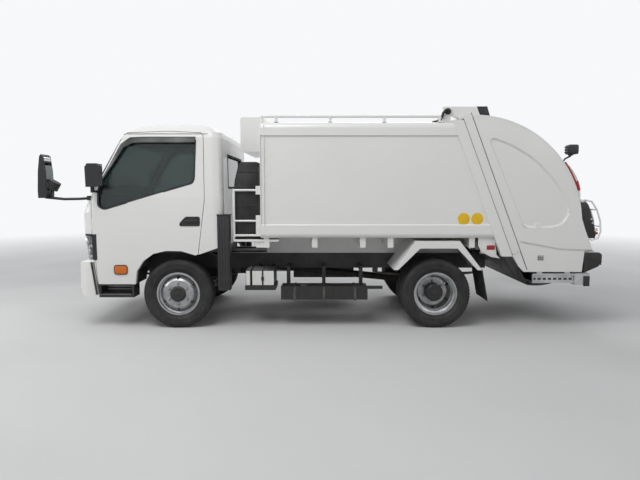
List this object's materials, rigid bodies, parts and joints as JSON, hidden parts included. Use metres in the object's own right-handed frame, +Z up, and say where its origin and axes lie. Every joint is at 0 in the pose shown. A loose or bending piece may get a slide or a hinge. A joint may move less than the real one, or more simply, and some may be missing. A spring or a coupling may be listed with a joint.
{
  "type": "garbage truck",
  "caption": "Light rear-loading refuse truck with tilting cab, hollow container with pushing wall, lifting tailgate with sweeping blade and sliding cover, and twin rear wheels.",
  "frame": {"origin": "on the floor under the middle of the truck's bounding box", "axes": "+X forward, +Y to the truck's left, +Z up"},
  "size_m": [5.995, 2.23, 2.398],
  "materials": {
    "white_paint": "gloss",
    "grey_paint": "satin",
    "black_paint": "satin",
    "rim_paint": "satin",
    "tyre": "matte",
    "iron": "rough",
    "spring_steel": "satin",
    "glass": "gloss",
    "lamp": "gloss",
    "lamp_red": "gloss",
    "black_plastic": "matte",
    "grey_plastic": "matte",
    "seat_fabric": "woven",
    "rubber": "matte",
    "alu": "satin",
    "chrome_rod": "polished",
    "steel": "satin"
  },
  "bodies": {
    "chassis": {"frame": "grey_paint", "front_axle": "iron", "rear_axle": "iron", "leaf_springs": "spring_steel", "driveline": "iron", "exhaust": "steel", "side_boxes": "black_paint", "container": "white_paint", "front_tank": "white_paint", "tube_rails": "white_paint", "rear_mudguards": "white_paint", "mud_flaps": "rubber"},
    "ejector": {"ejector": "white_paint"},
    "cab": {"cab_floor": "black_paint", "cab_roof": "white_paint", "cab_rear": "white_paint", "cab_front": "white_paint", "cab_glass": "glass", "headlamps": "lamp", "cab_steps": "black_plastic", "arch_liners": "black_plastic", "bumper": "white_paint", "dashboard": "grey_plastic", "seats": "seat_fabric", "front_mirror": "black_plastic"},
    "door_left": {"door_left": "white_paint", "door_glass_left": "glass", "mirror_left": "black_plastic"},
    "door_right": {"door_right": "white_paint", "door_glass_right": "glass", "mirror_right": "black_plastic"},
    "knuckle_left": {"knuckle_left": "iron"},
    "knuckle_right": {"knuckle_right": "iron"},
    "wheel_front_left": {"tyre_front_left": "tyre", "rim_front_left": "rim_paint"},
    "wheel_front_right": {"tyre_front_right": "tyre", "rim_front_right": "rim_paint"},
    "wheel_rear_left": {"tyre_rear_left": "tyre", "rim_rear_left": "rim_paint"},
    "wheel_rear_right": {"tyre_rear_right": "tyre", "rim_rear_right": "rim_paint"},
    "tailgate": {"tail_shell": "white_paint", "hopper_trough": "black_paint", "rear_step": "alu", "corner_buffers": "rubber", "tail_lamps": "lamp_red"},
    "packer": {"packer_blade": "steel"},
    "cover": {"hopper_cover": "white_paint"},
    "ram_barrels": {"ram_barrels": "black_paint"},
    "ram_rods": {"ram_rods": "chrome_rod"}
  },
  "joints": [
    {"name": "steer_left", "type": "hinge", "parent": "chassis", "child": "knuckle_left", "pos_m": [1.5925, 0.73, 0.376], "axis": [0, 0, 1], "range_deg": [-32, 32]},
    {"name": "steer_right", "type": "hinge", "parent": "chassis", "child": "knuckle_right", "pos_m": [1.5925, -0.73, 0.376], "axis": [0, 0, 1], "range_deg": [-32, 32]},
    {"name": "roll_front_left", "type": "hinge", "parent": "knuckle_left", "child": "wheel_front_left", "pos_m": [1.5925, 0.8825, 0.376], "axis": [0, 1, 0], "continuous": true},
    {"name": "roll_front_right", "type": "hinge", "parent": "knuckle_right", "child": "wheel_front_right", "pos_m": [1.5925, -0.8825, 0.376], "axis": [0, 1, 0], "continuous": true},
    {"name": "roll_rear_left", "type": "hinge", "parent": "chassis", "child": "wheel_rear_left", "pos_m": [-1.2075, 0.765, 0.376], "axis": [0, 1, 0], "continuous": true},
    {"name": "roll_rear_right", "type": "hinge", "parent": "chassis", "child": "wheel_rear_right", "pos_m": [-1.2075, -0.765, 0.376], "axis": [0, 1, 0], "continuous": true},
    {"name": "cab_tilt", "type": "hinge", "parent": "chassis", "child": "cab", "pos_m": [2.4475, 0, 0.48], "axis": [0, 1, 0], "range_deg": [0, 45]},
    {"name": "door_left_hinge", "type": "hinge", "parent": "cab", "child": "door_left", "pos_m": [2.5005, 0.99, 1], "axis": [0, 0, -1], "range_deg": [0, 70]},
    {"name": "door_right_hinge", "type": "hinge", "parent": "cab", "child": "door_right", "pos_m": [2.5005, -0.99, 1], "axis": [0, 0, 1], "range_deg": [0, 70]},
    {"name": "tailgate_lift", "type": "hinge", "parent": "chassis", "child": "tailgate", "pos_m": [-1.3275, 0, 2.345], "axis": [0, 1, 0], "range_deg": [0, 80]},
    {"name": "cover_slide", "type": "hinge", "parent": "tailgate", "child": "cover", "pos_m": [-1.5825, 0, 1.115], "axis": [0, 1, 0], "range_deg": [0, 38]},
    {"name": "blade_sweep", "type": "hinge", "parent": "tailgate", "child": "packer", "pos_m": [-2.2925, 0, 1.12], "axis": [0, 1, 0], "range_deg": [0, 50]},
    {"name": "ram_swing", "type": "hinge", "parent": "chassis", "child": "ram_barrels", "pos_m": [-1.83392, 0, 1.45203], "axis": [0, -1, 0], "range_deg": [-2, 12]},
    {"name": "ram_extend", "type": "slide", "parent": "ram_barrels", "child": "ram_rods", "axis": [0.3598, 0, 0.933], "range_m": [0, 0.345]},
    {"name": "ejector_push", "type": "slide", "parent": "chassis", "child": "ejector", "axis": [-1, 0, 0], "range_m": [0, 1.55]}
  ],
  "couplings": [
    {"joint": "steer_right", "follows": "steer_left", "ratio": 1},
    {"joint": "ram_swing", "follows": "tailgate_lift", "ratio": 0.10626},
    {"joint": "ram_extend", "follows": "tailgate_lift", "m_per_rad": 0.23826}
  ]
}
